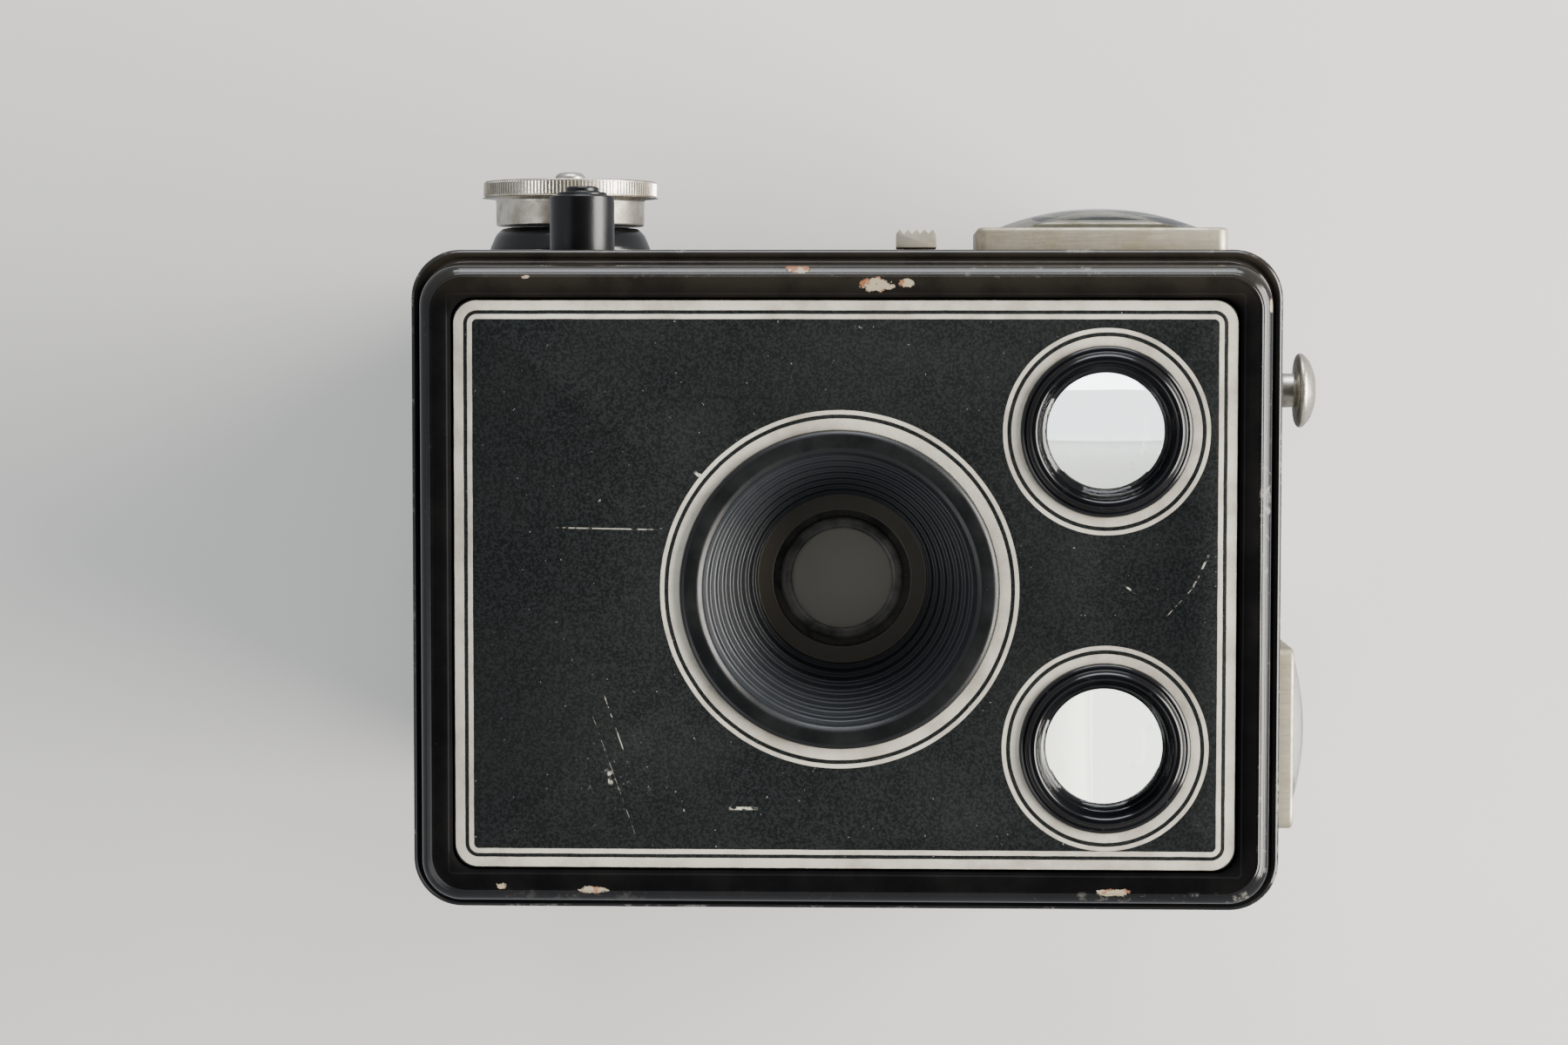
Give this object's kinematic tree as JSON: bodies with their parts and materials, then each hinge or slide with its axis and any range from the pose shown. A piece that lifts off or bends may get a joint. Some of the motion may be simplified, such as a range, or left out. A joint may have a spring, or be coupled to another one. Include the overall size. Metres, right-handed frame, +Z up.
{
  "type": "box camera",
  "caption": "Box camera with stepped lens cone, reflecting finders in front, side and top, winding key, release post and hinged back.",
  "frame": {"origin": "middle of the bottom face that the camera stands on", "axes": "+Z up to the top finder, the lens looks along -Y, the winding knob and the release post are on the -X side"},
  "size_m": [0.0922, 0.1249, 0.1118],
  "materials": {
    "enamel": "gloss",
    "matt_black": "matt",
    "plate_paint": "semi-matt, with cream pinstripes",
    "leatherette": "grained",
    "nickel": "worn nickel plate",
    "steel": "dull",
    "brass": "dull",
    "glass": "polished",
    "red_glass": "clear red",
    "mirror": "silvered"
  },
  "bodies": {
    "camera_body": {"blade_pivot": "brass", "body_covering": "leatherette", "body_shell": "matt_black", "carrier_cone": "matt_black", "carrier_side_left": "matt_black", "carrier_side_right": "matt_black", "catch_bracket": "nickel", "catch_pin": "steel", "face_plate": "plate_paint", "front_frame": "enamel", "gate_frame": "matt_black", "hinge_leaf": "steel", "hinge_pin": "steel", "knob_boss": "enamel", "lens": "glass", "lens_cell": "matt_black", "lens_cone": "matt_black", "lever_pivot": "brass", "rear_collar": "matt_black", "release_guide": "brass", "return_spring": "steel", "shutter_plate": "steel", "side_finder_bezel": "enamel", "side_finder_box": "matt_black", "side_finder_mirror": "mirror", "side_finder_objective": "glass", "side_window_frame": "nickel", "side_window_lens": "glass", "strap_stud_front": "nickel", "strap_stud_rear": "nickel", "supply_pin_left": "steel", "supply_pin_right": "steel", "supply_spring": "steel", "takeup_pin": "steel", "takeup_spring": "steel", "top_finder_bezel": "enamel", "top_finder_box": "matt_black", "top_finder_mirror": "mirror", "top_finder_objective": "glass", "top_window_frame": "nickel", "top_window_lens": "glass"},
    "release_post": {"release_post": "enamel"},
    "trip_lever": {"trip_lever": "steel"},
    "shutter_blade": {"shutter_blade": "steel"},
    "speed_slider": {"speed_slider": "nickel"},
    "takeup_spool": {"takeup_spool": "enamel"},
    "winding_key": {"wind_knob": "nickel", "key_shaft": "steel", "knob_rivet": "nickel"},
    "supply_spool": {"supply_spool": "enamel"},
    "roller_bottom": {"roller_bottom": "nickel"},
    "roller_top": {"roller_top": "nickel"},
    "back_door": {"back_door": "enamel", "door_covering": "leatherette", "red_window": "red_glass", "red_window_ring": "enamel"},
    "back_catch": {"back_catch": "nickel"}
  },
  "joints": [
    {"name": "release_press", "type": "slide", "parent": "camera_body", "child": "release_post", "axis": [1, 0, 0], "range_m": [0, 0.004], "stiffness_N_per_m": 300, "springref_m": -0.001},
    {"name": "lever_swing", "type": "hinge", "parent": "camera_body", "child": "trip_lever", "pos_m": [-0.026, -0.038, 0.034], "axis": [0, -1, 0], "range_deg": [0, 17.1]},
    {"name": "blade_swing", "type": "hinge", "parent": "camera_body", "child": "shutter_blade", "pos_m": [0.0005, -0.037, 0.0392], "axis": [0, 1, 0], "range_deg": [0, 100.5]},
    {"name": "speed_slide", "type": "slide", "parent": "camera_body", "child": "speed_slider", "axis": [0, 0, -1], "range_m": [0, 0.0055]},
    {"name": "winding_turn", "type": "hinge", "parent": "camera_body", "child": "takeup_spool", "pos_m": [0, -0.015, 0.016], "axis": [-1, 0, 0], "continuous": true},
    {"name": "key_draw", "type": "slide", "parent": "takeup_spool", "child": "winding_key", "axis": [-1, 0, 0], "range_m": [0, 0.008]},
    {"name": "supply_turn", "type": "hinge", "parent": "camera_body", "child": "supply_spool", "pos_m": [0, -0.006, 0.0914], "axis": [-1, 0, 0], "continuous": true},
    {"name": "roller_bottom_turn", "type": "hinge", "parent": "camera_body", "child": "roller_bottom", "pos_m": [0, 0.0519, 0.00865], "axis": [-1, 0, 0], "continuous": true},
    {"name": "roller_top_turn", "type": "hinge", "parent": "camera_body", "child": "roller_top", "pos_m": [0, 0.0519, 0.09785], "axis": [-1, 0, 0], "continuous": true},
    {"name": "back_swing", "type": "hinge", "parent": "camera_body", "child": "back_door", "pos_m": [0, 0.06, 0.0022], "axis": [-1, 0, 0], "range_deg": [0, 90]},
    {"name": "catch_lift", "type": "hinge", "parent": "camera_body", "child": "back_catch", "pos_m": [0, 0.039, 0.1087], "axis": [1, 0, 0], "range_deg": [0, 35], "stiffness_Nm_per_rad": 0.03, "springref_deg": -8.59}
  ],
  "couplings": [
    {"joint": "lever_swing", "follows": "release_press", "rad_per_m": 74.074},
    {"joint": "blade_swing", "follows": "release_press", "rad_per_m": 436.33}
  ]
}
